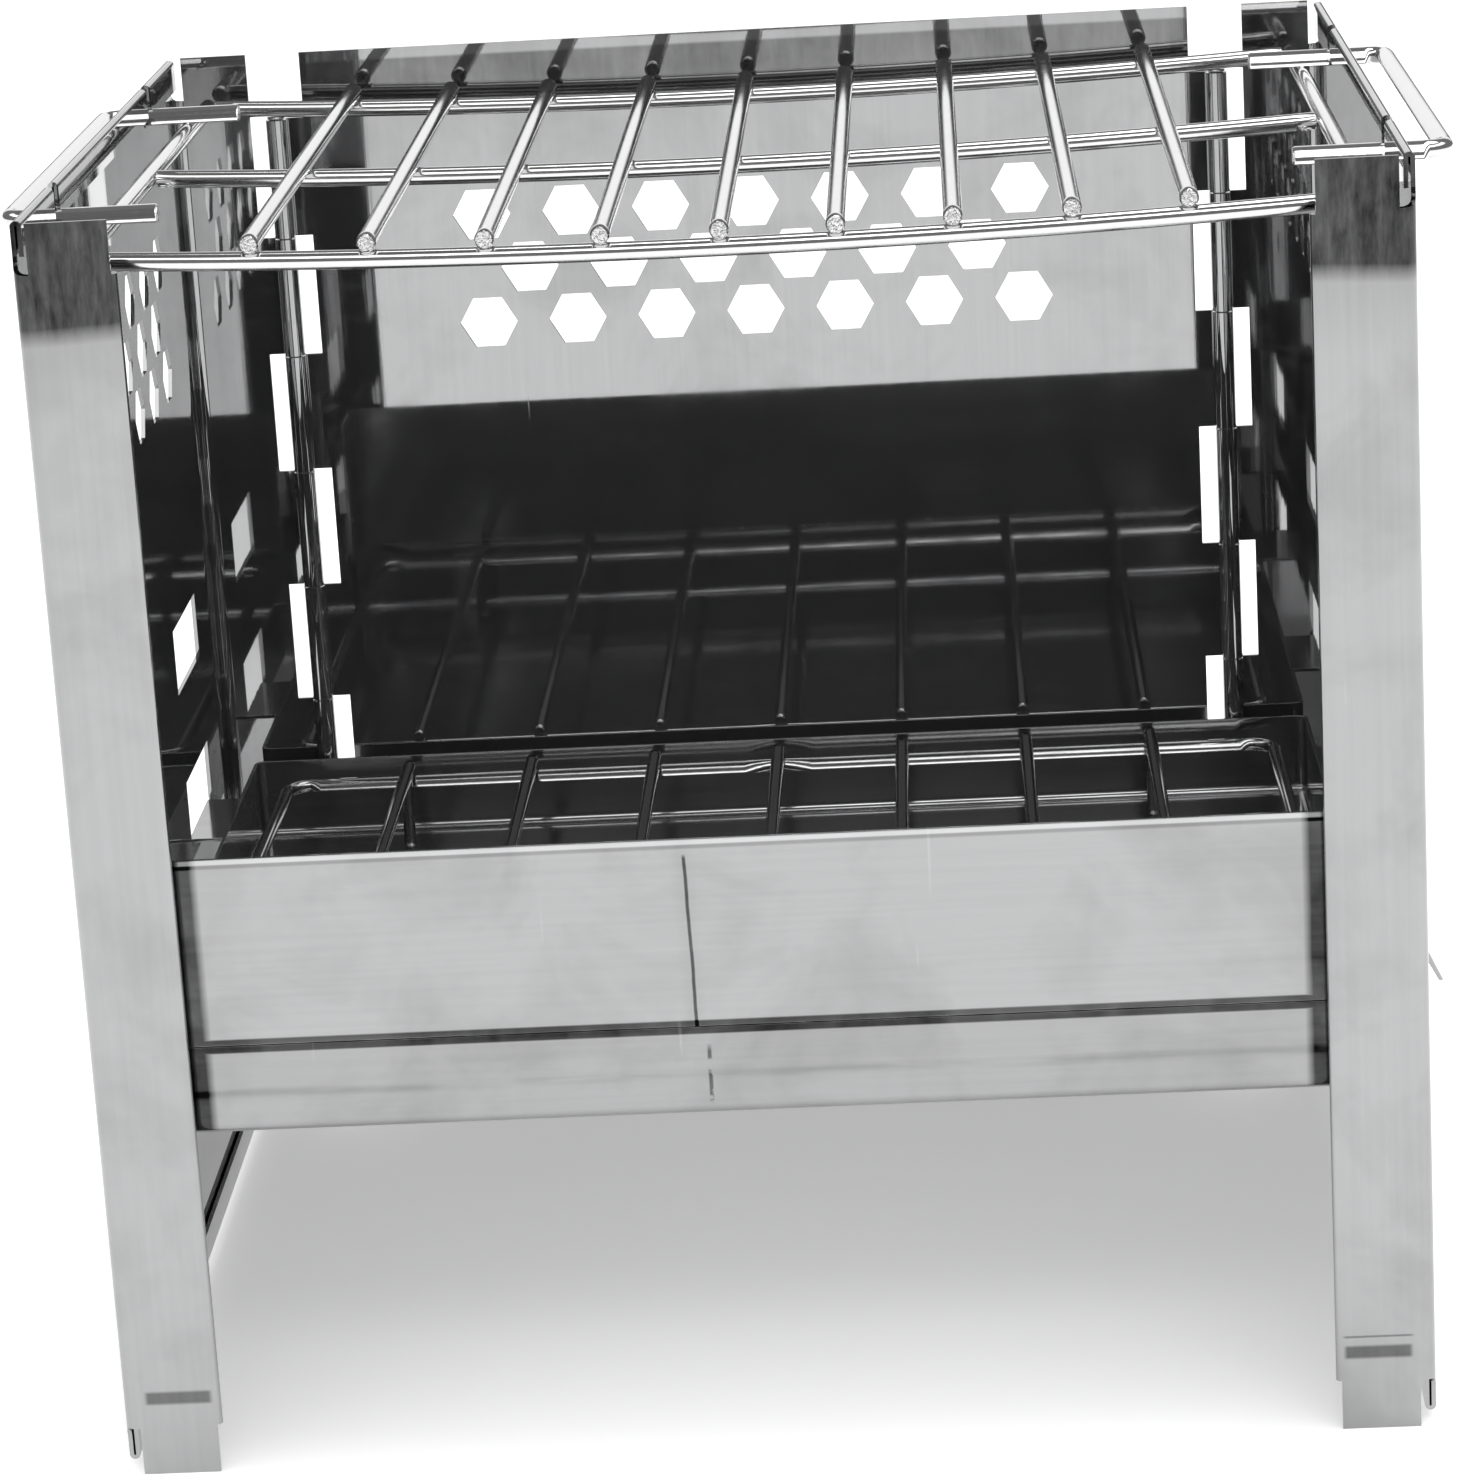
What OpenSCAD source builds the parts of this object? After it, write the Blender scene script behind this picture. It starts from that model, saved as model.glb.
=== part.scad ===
// Folding camp grill: a three-panel stainless frame hinged at the rear corners,
// a charcoal tray hooked into the side panels, a front plate, a charcoal grate
// and a cooking net that rests in notches of the side panels.
// Origin: middle of the footprint, on the ground. X right, Y to the back, Z up.
// Shapes are drawn from the front face back, and centred() moves them.

/* [Frame] */
// Width over the side panels
outer_w = 240; // [210:1:300]
// Depth from the front flanges to the rear flanges
outer_d = 192; // [180:1:240]
// Height from the feet to the top edge
outer_h = 233; // [215:1:290]
// Sheet thickness
sheet = 0.8; // [0.6:0.1:1.0]
// Outside radius of the corner bends
bend_r = 3; // [2.5:0.1:4]
// Width of each front flange, which is also the front leg
front_flange = 17.2; // [14:0.1:22]
// Width of each rear flange up to the hinge
rear_flange = 16.6; // [14:0.1:18]
// Gap inside a folded hem
hem_gap = 0.4; // [0.3:0.1:0.6]
// Depth of a hem's folded-back leg
hem_leg = 5.2; // [3:0.1:6]
// Height of the panels' lower hem above the ground
panel_lift = 1.8; // [1:0.1:4]
// Height of the relief cut beside each flange end
relief_h = 9; // [8:0.1:12]

/* [Hinge] */
// Diameter of the hinge pins
pin_d = 2.7; // [2.2:0.1:3]
// Radial clearance between a pin and its knuckles
pin_clearance = 0.05; // [0.03:0.01:0.08]
// Number of knuckles on each hinge
knuckles = 8; // [6:1:8]
// Length of one knuckle with its gap
knuckle_pitch = 25.15; // [22:0.05:25.5]
// Gap between neighbouring knuckles
knuckle_gap = 0.3; // [0.2:0.05:0.5]
// Distance from the panel edge to the pin centre
leaf_w = 5.6; // [5:0.1:7]
// Height of the first knuckle below the top edge
hinge_drop = 13.4; // [10:0.1:16]

/* [Vents] */
// Distance across the corners of a hexagonal vent
hex_d = 12.1; // [9:0.1:13]
// Spacing of the vents along a row
hex_pitch = 18.8; // [16:0.1:19]
// Spacing of the rows
hex_row = 11.5; // [11.2:0.1:13]
// Vents in the two long rows
hex_count = 7; // [5:1:7]
// Middle row's height below the top edge
hex_drop = 47.4; // [44:0.1:60]

/* [Tray slots] */
// Width of a tray slot
slot_w = 31; // [24:1:34]
// Height of a tray slot
slot_h = 13.4; // [13:0.1:16]
// Bottom edge of the lower slots above the ground
slot_z = 80.4; // [74:0.1:88]
// Spacing of the lower and upper slots
slot_pitch = 32; // [28:0.5:36]
// Distance of the slot centres from the middle of the depth
slot_y = 49.5; // [44:0.5:52]

/* [Charcoal tray] */
// Depth of the tray
tray_h = 17; // [14:0.5:24]
// Gap between the tray walls and the side panels
tray_gap = 6; // [5.5:0.1:8]
// Gap between the tray and the front and rear flanges
tray_end_gap = 2; // [1.5:0.1:3]
// Bend radius at the tray's edges
tray_r = 2.4; // [1.5:0.1:3]
// Reach of the front ears outside the side panels
ear_out = 2.2; // [1.8:0.1:2.5]
// Drop of an ear's lip
lip_drop = 7.2; // [5:0.1:8]
// Sideways lean of an ear's lip
lip_lean = 3.4; // [3:0.1:4]

/* [Front plate] */
// Height of the front plate
plate_h = 35.2; // [28:0.5:44]
// Overlap of the plate behind each front leg
plate_lap = 8; // [4:0.1:8.4]
// Length of the plate's side returns
plate_return = 16; // [12:0.5:20]

/* [Charcoal grate] */
// Wire diameter of the grate
grate_wire = 2.8; // [2:0.1:3.2]
// Gap between the grate and the tray walls
grate_gap = 8; // [6:0.5:12]
// Distance from the outer cross wires to the frame wire
grate_margin = 26; // [18:1:30]
// Distance of a foot from the frame wire
foot_inset = 6; // [5:0.5:10]

/* [Cooking net] */
// Wire diameter of the net
net_wire = 3.4; // [2.8:0.1:3.6]
// Spacing of the cross rods
net_pitch = 20.3; // [16:0.1:20.5]
// Distance from the net's front rod to the front face
net_front = 12; // [10:0.5:14]
// Distance from the side rods to the outside of the side panels
net_side = 8.4; // [8:0.1:10]
// Sag of the net in its middle
net_sag = 2.8; // [1.5:0.1:4]
// Height of the handle wires' centre below the top edge
handle_drop = 6; // [5:0.1:7]
// Distance between the two legs of a handle
handle_w = 113; // [100:1:120]
// Reach of a handle past the side panel, to its wire's centre
handle_out = 8; // [7.7:0.1:9]
// Length of a handle leg inside the side panel
handle_in = 19; // [16:0.5:22]
// Bend radius of a handle, at the wire's centre
handle_r = 3; // [2.6:0.1:3.2]
// Width of the notches that hold the net
notch_w = 5.2; // [5:0.1:6]
// Sideways rest position of the net
net_shift = 1; // [0:0.5:1]

/* [Hidden] */
$fn = 48;

// Numbers of equal pieces, which NODES names one by one
grate_count = 7;
net_count = 9;

// Small fits
weld = 0.15;          // how far welded wires sink into each other
seat_gap = 0.1;       // gap under a piece that only rests
slot_play = 1.6;      // play of an ear in its slot, at each end
notch_gap = 0.5;      // gap under a handle wire in its notch
over = 1;             // reach of a cut past the metal
rim_reach = 40;       // outline of the tray above its rim, cut off there
rod_overhang = 2.6;   // reach of a rod past the rod it is welded to
rim_drop = 0.6;       // top of the grate frame below the tray rim
leaf_start = 0.5;     // where a leaf leaves its knuckle, from the pin's centre
head_h = 1;           // thickness of a pin's head
head_inset = 0.3;     // head smaller than the knuckle, all round
plate_r = 3;          // bend radius of the front plate
grate_corner = 5;     // corner radius of the grate frame
foot_taper = 0.1;     // a foot's radius is smaller than its wire's by this
hem_clear = 0.4;      // gap between a leg's hem and the relief cuts

// Frame
half_w = outer_w / 2;
hem_r = sheet + hem_gap / 2;
hem_stop = relief_h + hem_clear;
cut_h = panel_lift + hem_r + over;
flange_edge = half_w - front_flange;

// Hinge
knuckle_r = pin_d / 2 + pin_clearance + sheet;
bore_r = pin_d / 2 + pin_clearance;
pin_x = half_w - rear_flange - leaf_w;
pin_y = outer_d - knuckle_r;
panel_half = pin_x - leaf_w;
hinge_top = outer_h - hinge_drop;
hinge_bottom = hinge_top - knuckles * knuckle_pitch;
head_r = knuckle_r - head_inset;

// Charcoal tray
tray_half = half_w - sheet - tray_gap;
tray_top = slot_z + seat_gap + sheet;
tray_z = tray_top - tray_h;
tray_y0 = 2 * sheet + hem_gap + tray_end_gap;
tray_y1 = pin_y - knuckle_r - tray_end_gap / 2;
ear_w = slot_w - 2 * slot_play;
ear_edge = half_w + ear_out;

// Front plate
plate_half = flange_edge + plate_lap;
plate_y = tray_y0;
plate_z = tray_top + seat_gap;

// Charcoal grate
foot_r = grate_wire / 2 - foot_taper;
grate_x = tray_half - grate_gap;
grate_y0 = tray_y0 + grate_gap + sheet;
grate_y1 = tray_y1 - grate_gap - sheet;
grate_z = tray_top - rim_drop - grate_wire;
grate_pitch = 2 * (grate_x - grate_margin) / (grate_count - 1);

// Cooking net
handle_z = outer_h - handle_drop;
net_z = handle_z - net_wire + weld;
side_rod_x = half_w - net_side;
net_y0 = net_front;
net_y1 = outer_d - net_front;
rod_half = side_rod_x - net_wire / 2 + weld;
bow_r = (rod_half * rod_half + net_sag * net_sag) / (2 * net_sag);
notch_depth = handle_drop + net_wire / 2 + notch_gap;

// ---- Sheet metal shapes ----

// Quarter ring of sheet, from angle a to a + 90
module corner_bend(r, a) {
    rotate(a) intersection() {
        difference() {
            circle(r);
            circle(r - sheet);
        }
        square(r);
    }
}

// Hairpin of a hem: the edge lies at u = 0, the fold points up
module hem_section() {
    translate([hem_r, -hem_r]) intersection() {
        difference() {
            circle(hem_r);
            circle(hem_gap / 2);
        }
        translate([-hem_r, 0]) square([2 * hem_r, hem_r]);
    }
    translate([sheet + hem_gap, -hem_r - hem_leg]) square([sheet, hem_leg]);
}

// Plan of a side panel: front flange, side sheet and rear flange
module side_plan() {
    translate([-half_w, bend_r]) square([sheet, outer_d - 2 * bend_r]);
    translate([-half_w + bend_r, bend_r]) corner_bend(bend_r, 180);
    translate([-half_w + bend_r, outer_d - bend_r]) corner_bend(bend_r, 90);
    translate([-half_w + bend_r, 0]) square([front_flange - bend_r, sheet]);
    translate([-half_w + bend_r, outer_d - sheet]) square([rear_flange - bend_r, sheet]);
}

// One knuckle and its leaf, reaching out to the sheet on side s of the pin
module knuckle_plan(s) {
    leaf = leaf_w - leaf_start;
    translate([-pin_x, pin_y]) difference() {
        union() {
            circle(knuckle_r);
            translate([s > 0 ? leaf_w - leaf : -leaf_w, knuckle_r - sheet]) square([leaf, sheet]);
        }
        circle(bore_r);
    }
}

// Knuckles number first, first + 2 and so on, counted from the top
module knuckle_row(first, s) {
    for (i = [first : 2 : knuckles])
        translate([0, 0, hinge_top - i * knuckle_pitch + knuckle_gap / 2])
            linear_extrude(knuckle_pitch - knuckle_gap) knuckle_plan(s);
}

// Three staggered rows of hexagonal holes along local X, seen from the front
module hex_rows() {
    for (row = [-1 : 1]) {
        n = row == 0 ? hex_count - 1 : hex_count;
        for (i = [0 : n - 1])
            translate([(i - (n - 1) / 2) * hex_pitch, 0, row * hex_row])
                rotate([90, 0, 0]) cylinder(d = hex_d, h = 4 * sheet, center = true, $fn = 6);
    }
}

module net_notches() {
    for (s = [-1, 1])
        translate([-half_w, outer_d / 2 + s * handle_w / 2, outer_h - notch_depth + notch_w / 2]) {
            rotate([0, 90, 0]) cylinder(d = notch_w, h = 8 * sheet, center = true);
            translate([-4 * sheet, -notch_w / 2, 0]) cube([8 * sheet, notch_w, notch_depth]);
        }
}

module tray_slots() {
    for (s = [-1, 1], level = [0, 1])
        translate([-half_w - sheet, outer_d / 2 + s * slot_y - slot_w / 2, slot_z + level * slot_pitch])
            cube([4 * sheet, slot_w, slot_h]);
}

// Relief cuts with a round end at the four corners of a side panel
module corner_reliefs() {
    for (end = [0, 1])
        translate([-half_w - over, end * outer_d, 0]) mirror([0, end, 0]) {
            for (z = [relief_h - bend_r, outer_h - relief_h + bend_r])
                translate([0, 0, z]) rotate([0, 90, 0]) cylinder(r = bend_r, h = bend_r + over);
            for (z = [-over, outer_h - relief_h + bend_r])
                translate([0, -over, z]) cube([bend_r + over, bend_r + over, relief_h - bend_r + over]);
        }
}

module left_panel() {
    difference() {
        linear_extrude(outer_h) side_plan();
        for (z = [panel_lift + hem_r - cut_h, outer_h - hem_r])
            translate([-half_w - over, bend_r, z]) cube([sheet + 2 * over, outer_d - 2 * bend_r, cut_h]);
        corner_reliefs();
        net_notches();
        tray_slots();
        translate([-half_w + sheet / 2, outer_d / 2, outer_h - hex_drop]) rotate([0, 0, 90]) hex_rows();
    }
    difference() {
        translate([-half_w, outer_d - bend_r, outer_h]) rotate([90, 0, 0])
            linear_extrude(outer_d - 2 * bend_r) hem_section();
        net_notches();
    }
    translate([-half_w, bend_r, panel_lift]) rotate([-90, 0, 0])
        linear_extrude(outer_d - 2 * bend_r) hem_section();
    translate([-flange_edge, hem_r, hem_stop]) leg_hem();
    knuckle_row(2, -1);
}

// Folded inner edge of a front flange, which stops short of both ends
module leg_hem() {
    linear_extrude(outer_h - 2 * hem_stop) {
        intersection() {
            difference() {
                circle(hem_r);
                circle(hem_gap / 2);
            }
            translate([0, -hem_r]) square([hem_r, 2 * hem_r]);
        }
        translate([-hem_leg, hem_gap / 2]) square([hem_leg, sheet]);
    }
}

// ---- Wire shapes ----

module wire_x(len, d) { rotate([0, 90, 0]) cylinder(d = d, h = len); }

module wire_y(len, d) { rotate([-90, 0, 0]) cylinder(d = d, h = len); }

// Quarter turn of wire in plan, from angle a to a + 90
module wire_bend(r, d, a) {
    rotate([0, 0, a]) rotate_extrude(angle = 90) translate([r, 0]) circle(d = d);
}

// Rod along X that bows down by the net's sag
module bowed_rod() {
    a = asin(rod_half / bow_r);
    translate([0, 0, bow_r - net_sag]) rotate([90, 0, 0])
        rotate([0, 0, 270 - a]) rotate_extrude(angle = 2 * a, $fn = 1440)
            translate([bow_r, 0]) circle(d = net_wire, $fn = 32);
}

// Height of the bowed rods at x, measured from their ends
function bow_z(x) = bow_r - net_sag - sqrt(bow_r * bow_r - x * x);

// ---- Pieces ----

// Moves what is drawn from the front face to the middle of the footprint
module centred() { translate([0, -outer_d / 2, 0]) children(); }

module back_panel() {
    color("silver") centred() {
        difference() {
            translate([-panel_half, outer_d - sheet, panel_lift])
                cube([2 * panel_half, sheet, outer_h - panel_lift]);
            translate([0, outer_d - sheet / 2, outer_h - hex_drop]) hex_rows();
        }
        knuckle_row(1, 1);
        mirror([1, 0, 0]) knuckle_row(1, 1);
    }
}

module left_side_panel() { color("silver") centred() left_panel(); }

module right_side_panel() { color("silver") centred() mirror([1, 0, 0]) left_panel(); }

module hinge_pin(x) {
    translate([x, pin_y, 0]) {
        translate([0, 0, hinge_bottom]) cylinder(d = pin_d, h = hinge_top - hinge_bottom);
        translate([0, 0, hinge_top]) cylinder(r = head_r, h = head_h);
        translate([0, 0, hinge_bottom - head_h]) cylinder(r = head_r, h = head_h);
    }
}

module left_hinge_pin() { color("gainsboro") centred() hinge_pin(-pin_x); }

module right_hinge_pin() { color("gainsboro") centred() hinge_pin(pin_x); }

// Outline of the tray box, grown by g on every side but the top
module tray_block(g) {
    w = tray_half + g;
    y0 = tray_y0 - g;
    y1 = tray_y1 + g;
    r = tray_r + g;
    intersection() {
        translate([0, 0, tray_z - g]) linear_extrude(tray_h + (g < 0 ? over : 0))
            rounded([-w, y0], [w, y1], r);
        translate([0, y1, 0]) rotate([90, 0, 0]) linear_extrude(y1 - y0)
            rounded([-w, tray_z - g], [w, tray_top + rim_reach], r);
        translate([-w, 0, 0]) rotate([90, 0, 90]) linear_extrude(2 * w)
            rounded([y0, tray_z - g], [y1, tray_top + rim_reach], r);
    }
}

// Rectangle from corner a to corner b with corners of radius r
module rounded(a, b, r) {
    translate([a[0] + r, a[1]]) square([b[0] - a[0] - 2 * r, b[1] - a[1]]);
    translate([a[0], a[1] + r]) square([b[0] - a[0], b[1] - a[1] - 2 * r]);
    for (x = [a[0] + r, b[0] - r], y = [a[1] + r, b[1] - r]) translate([x, y]) circle(r);
}

// Ear that passes through a slot and, at the front, hooks down outside it
module tray_ear(lip) {
    start = tray_half - sheet / 2;
    edge = lip ? ear_edge : half_w;
    rotate([90, 0, 0]) linear_extrude(ear_w, center = true) {
        translate([start, tray_top - sheet]) square([edge - start, sheet]);
        if (lip)
            polygon([
                [edge, tray_top], [edge - sheet, tray_top - sheet],
                [edge - sheet + lip_lean, tray_top - lip_drop], [edge + lip_lean, tray_top - lip_drop]
            ]);
    }
}

module charcoal_tray() {
    color("silver") centred() {
        difference() {
            tray_block(0);
            tray_block(-sheet);
        }
        for (s = [0, 1]) mirror([s, 0, 0]) {
            translate([0, outer_d / 2 - slot_y, 0]) tray_ear(true);
            translate([0, outer_d / 2 + slot_y, 0]) tray_ear(false);
        }
    }
}

module front_plate() {
    color("silver") centred() translate([0, 0, plate_z]) linear_extrude(plate_h) {
        translate([-plate_half + plate_r, plate_y]) square([2 * (plate_half - plate_r), sheet]);
        for (s = [0, 1]) mirror([s, 0]) {
            translate([-plate_half + plate_r, plate_y + plate_r]) corner_bend(plate_r, 180);
            translate([-plate_half, plate_y + plate_r]) square([sheet, plate_return]);
        }
    }
}

module grate_frame() {
    w = grate_x - grate_corner;
    len = grate_y1 - grate_y0 - 2 * grate_corner;
    color("dimgray") centred() translate([0, 0, grate_z]) {
        for (y = [grate_y0, grate_y1]) translate([-w, y, 0]) wire_x(2 * w, grate_wire);
        for (x = [-grate_x, grate_x]) translate([x, grate_y0 + grate_corner, 0]) wire_y(len, grate_wire);
        translate([w, grate_y1 - grate_corner, 0]) wire_bend(grate_corner, grate_wire, 0);
        translate([-w, grate_y1 - grate_corner, 0]) wire_bend(grate_corner, grate_wire, 90);
        translate([-w, grate_y0 + grate_corner, 0]) wire_bend(grate_corner, grate_wire, 180);
        translate([w, grate_y0 + grate_corner, 0]) wire_bend(grate_corner, grate_wire, 270);
    }
}

// Cross wire number i; the first and the last stand on two feet
module grate_cross_wire(i) {
    z = grate_z + grate_wire - weld;
    x = (i - (grate_count + 1) / 2) * grate_pitch;
    foot_z = tray_z + sheet + seat_gap;
    color("dimgray") centred() translate([x, 0, 0]) {
        translate([0, grate_y0 - grate_wire, z]) wire_y(grate_y1 - grate_y0 + 2 * grate_wire, grate_wire);
        if (i == 1 || i == grate_count)
            for (y = [grate_y0 + foot_inset, grate_y1 - foot_inset])
                translate([0, y, foot_z]) cylinder(r = foot_r, h = z - foot_z);
    }
}

// Cross rod number i of the net, lying on the bowed rods
module net_cross_rod(i) {
    x = (i - (net_count + 1) / 2) * net_pitch;
    color("gainsboro") centred()
        translate([x + net_shift, net_y0 - rod_overhang, net_z + bow_z(x) + net_wire - weld])
        wire_y(net_y1 - net_y0 + 2 * rod_overhang, net_wire);
}

module net_bowed_rod(y) {
    color("gainsboro") centred() translate([net_shift, y, net_z]) bowed_rod();
}

module net_side_rod(x) {
    color("gainsboro") centred() translate([x + net_shift, net_y0 - rod_overhang, net_z])
        wire_y(net_y1 - net_y0 + 2 * rod_overhang, net_wire);
}

// U-shaped handle on the left; its legs lie on the side rod
module left_handle() {
    x_in = half_w - handle_in;
    x_out = half_w + handle_out;
    for (s = [-1, 1])
        translate([-x_out + handle_r, s * handle_w / 2, 0]) wire_x(x_out - x_in - handle_r, net_wire);
    translate([-x_out, -handle_w / 2 + handle_r, 0]) wire_y(handle_w - 2 * handle_r, net_wire);
    translate([-x_out + handle_r, handle_w / 2 - handle_r, 0]) wire_bend(handle_r, net_wire, 90);
    translate([-x_out + handle_r, -handle_w / 2 + handle_r, 0]) wire_bend(handle_r, net_wire, 180);
}

module net_handle(side) {
    color("gainsboro") centred() translate([net_shift, outer_d / 2, handle_z])
        mirror([side > 0 ? 1 : 0, 0, 0]) left_handle();
}

back_panel();
left_side_panel();
right_side_panel();
left_hinge_pin();
right_hinge_pin();
charcoal_tray();
front_plate();
grate_frame();
grate_cross_wire(1);  // grate_wire_1
grate_cross_wire(2);  // grate_wire_2
grate_cross_wire(3);  // grate_wire_3
grate_cross_wire(4);  // grate_wire_4
grate_cross_wire(5);  // grate_wire_5
grate_cross_wire(6);  // grate_wire_6
grate_cross_wire(7);  // grate_wire_7
net_bowed_rod(net_y0);  // net_front_rod
net_bowed_rod(outer_d / 2);  // net_middle_rod
net_bowed_rod(net_y1);  // net_rear_rod
net_side_rod(-side_rod_x);  // net_left_rod
net_side_rod(side_rod_x);  // net_right_rod
net_handle(-1);  // net_left_handle
net_handle(1);  // net_right_handle
net_cross_rod(1);  // net_cross_rod_1
net_cross_rod(2);  // net_cross_rod_2
net_cross_rod(3);  // net_cross_rod_3
net_cross_rod(4);  // net_cross_rod_4
net_cross_rod(5);  // net_cross_rod_5
net_cross_rod(6);  // net_cross_rod_6
net_cross_rod(7);  // net_cross_rod_7
net_cross_rod(8);  // net_cross_rod_8
net_cross_rod(9);  // net_cross_rod_9
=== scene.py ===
import bpy, bmesh, math, random
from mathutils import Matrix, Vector


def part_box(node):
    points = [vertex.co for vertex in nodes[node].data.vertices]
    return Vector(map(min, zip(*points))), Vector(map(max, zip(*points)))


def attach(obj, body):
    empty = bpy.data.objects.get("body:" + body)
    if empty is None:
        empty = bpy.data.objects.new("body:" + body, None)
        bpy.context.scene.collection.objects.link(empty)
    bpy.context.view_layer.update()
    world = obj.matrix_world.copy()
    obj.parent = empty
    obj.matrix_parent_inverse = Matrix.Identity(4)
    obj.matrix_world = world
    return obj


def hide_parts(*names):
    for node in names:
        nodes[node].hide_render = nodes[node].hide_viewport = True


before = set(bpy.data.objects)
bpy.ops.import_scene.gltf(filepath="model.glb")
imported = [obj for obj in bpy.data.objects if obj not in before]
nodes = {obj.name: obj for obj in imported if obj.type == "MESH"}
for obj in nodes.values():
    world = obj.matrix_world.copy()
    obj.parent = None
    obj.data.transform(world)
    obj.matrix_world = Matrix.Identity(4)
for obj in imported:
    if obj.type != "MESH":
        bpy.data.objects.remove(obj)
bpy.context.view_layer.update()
print("frame loaded:", len(nodes), "nodes")

# Camera and studio

cameraSet = {
    "place": (0.03849, -0.91895, 0.37537),
    "turn": (1.28684, 0.05591, 0.03233),
    "lens": 118.77,
    "sensor": 36.0,
}

studio = {
    "floorColour": (0.86, 0.86, 0.86, 1.0),
    "floorRough": 0.8,
    "floorCloud": 0.1,       # how much the floor's roughness varies
    "floorSide": 4.0,        # how far the floor reaches left, right and behind
    "floorFront": 1.62,      # where the table ends in front of the grill
    "floorGlow": 0.38,       # light that comes through the table top from below
    "ambient": 1.0,          # soft light that falls on the floor from all round
    "wall": 0.21,            # brightness of the walls, as the steel sees them
    "ring": 2.2,             # bright band of soft boxes above the walls
    "ceiling": 0.16,         # brightness of the ceiling inside the band
    "backdrop": 1.15,        # white backdrop behind the grill, as the steel sees it
    "background": 1.15,      # what lies past the floor
}

# soft edges in the room; heights are sines of the elevation
roomEdges = {
    "ringLow": (0.54, 0.58),
    "ringHigh": (0.78, 0.82),
    "ringFront": (0.36, 0.44),     # on a scale from 0 straight behind to 1 straight in front
    "ceiling": (0.82, 0.92),
    "backdropSide": (0.80, 0.86),  # on a scale from 0 at the sides to 1 straight behind
    "backdropLow": (0.09, 0.12),
    "backdropHigh": (0.40, 0.46),
}

# each light's power in watts, width and depth, place, and the point it faces
lights = {
    "overhead": {"power": 6.5, "size": (0.9, 0.7), "place": (0.3, 0.1, 1.5), "target": (0.1, -0.1, 0.0)},
    "front": {"power": 3.0, "size": (1.2, 0.4), "place": (0.3, -1.3, 1.25), "target": (0.0, 0.0, 0.1)},
}


class Tie:
    # wraps a socket, so that sums and products write their own Math nodes
    def __init__(self, tree, socket):
        self.tree = tree
        self.socket = socket

    def maths(self, operation, other, swapped=False):
        made = self.tree.nodes.new("ShaderNodeMath")
        made.operation = operation
        pair = (other, self) if swapped else (self, other)
        for place, value in enumerate(pair):
            if value is not None:
                join(self.tree, value, made.inputs[place])
        return Tie(self.tree, made.outputs[0])

    def __add__(self, other):
        return self.maths("ADD", other)

    def __radd__(self, other):
        return self.maths("ADD", other, True)

    def __sub__(self, other):
        return self.maths("SUBTRACT", other)

    def __rsub__(self, other):
        return self.maths("SUBTRACT", other, True)

    def __mul__(self, other):
        return self.maths("MULTIPLY", other)

    def __rmul__(self, other):
        return self.maths("MULTIPLY", other, True)

    def __truediv__(self, other):
        return self.maths("DIVIDE", other)

    def over(self, edge):
        return self.maths("GREATER_THAN", edge)

    def under(self, edge):
        return self.maths("LESS_THAN", edge)

    def absolute(self):
        return self.maths("ABSOLUTE", None)

    def smallest(self, other):
        return self.maths("MINIMUM", other)

    def largest(self, other):
        return self.maths("MAXIMUM", other)

    def clipped(self):
        return self.largest(0.0).smallest(1.0)


def join(tree, value, socket):
    if isinstance(value, Tie):
        tree.links.new(value.socket, socket)
    else:
        socket.default_value = value


class Weave:
    # one node tree, material, world or geometry, and the one way to add a node to it
    def __init__(self, tree):
        self.tree = tree

    def add(self, kind, settings=None, values=None, out=0):
        made = self.tree.nodes.new(kind)
        for key, value in (settings or {}).items():
            if key == "stops":
                ramp = made.color_ramp
                for step, (place, shade) in enumerate(value):
                    stop = ramp.elements[step] if step < 2 else ramp.elements.new(place)
                    stop.position = place
                    stop.color = (shade, shade, shade, 1.0)
            else:
                setattr(made, key, value)
        for key, value in (values or {}).items():
            join(self.tree, value, made.inputs[key])
        return Tie(self.tree, made.outputs[out])

    def split(self, vector):
        made = self.tree.nodes.new("ShaderNodeSeparateXYZ")
        join(self.tree, vector, made.inputs[0])
        return [Tie(self.tree, made.outputs[place]) for place in range(3)]

    def stretched(self, vector, scale, turn=(0.0, 0.0, 0.0)):
        return self.add("ShaderNodeMapping", {}, {"Vector": vector, "Scale": scale, "Rotation": turn})

    def noise(self, vector, scale, detail=2.0, rough=0.5, bend=0.0):
        return self.add("ShaderNodeTexNoise", {}, {
            "Vector": vector, "Scale": scale, "Detail": detail, "Roughness": rough, "Distortion": bend})

    def ramp(self, value, *stops):
        return self.add("ShaderNodeValToRGB", {"stops": stops}, {"Fac": value})

    def rise(self, value, start, end):
        # nothing below start, one above end
        return self.ramp(value, (0.0, 0.0), (start, 0.0), (end, 1.0), (1.0, 1.0))

    def stripe(self, value, low, high):
        # one between two soft edges, nothing outside them
        return self.ramp(value, (0.0, 0.0), (low[0], 0.0), (low[1], 1.0), (high[0], 1.0), (high[1], 0.0))


def makeCamera():
    data = bpy.data.cameras.new("camera")
    data.lens = cameraSet["lens"]
    data.sensor_width = cameraSet["sensor"]
    data.clip_start = 0.01
    data.clip_end = 50.0
    camera = bpy.data.objects.new("camera", data)
    camera.location = cameraSet["place"]
    camera.rotation_euler = cameraSet["turn"]
    bpy.context.scene.collection.objects.link(camera)
    bpy.context.scene.camera = camera


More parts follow.
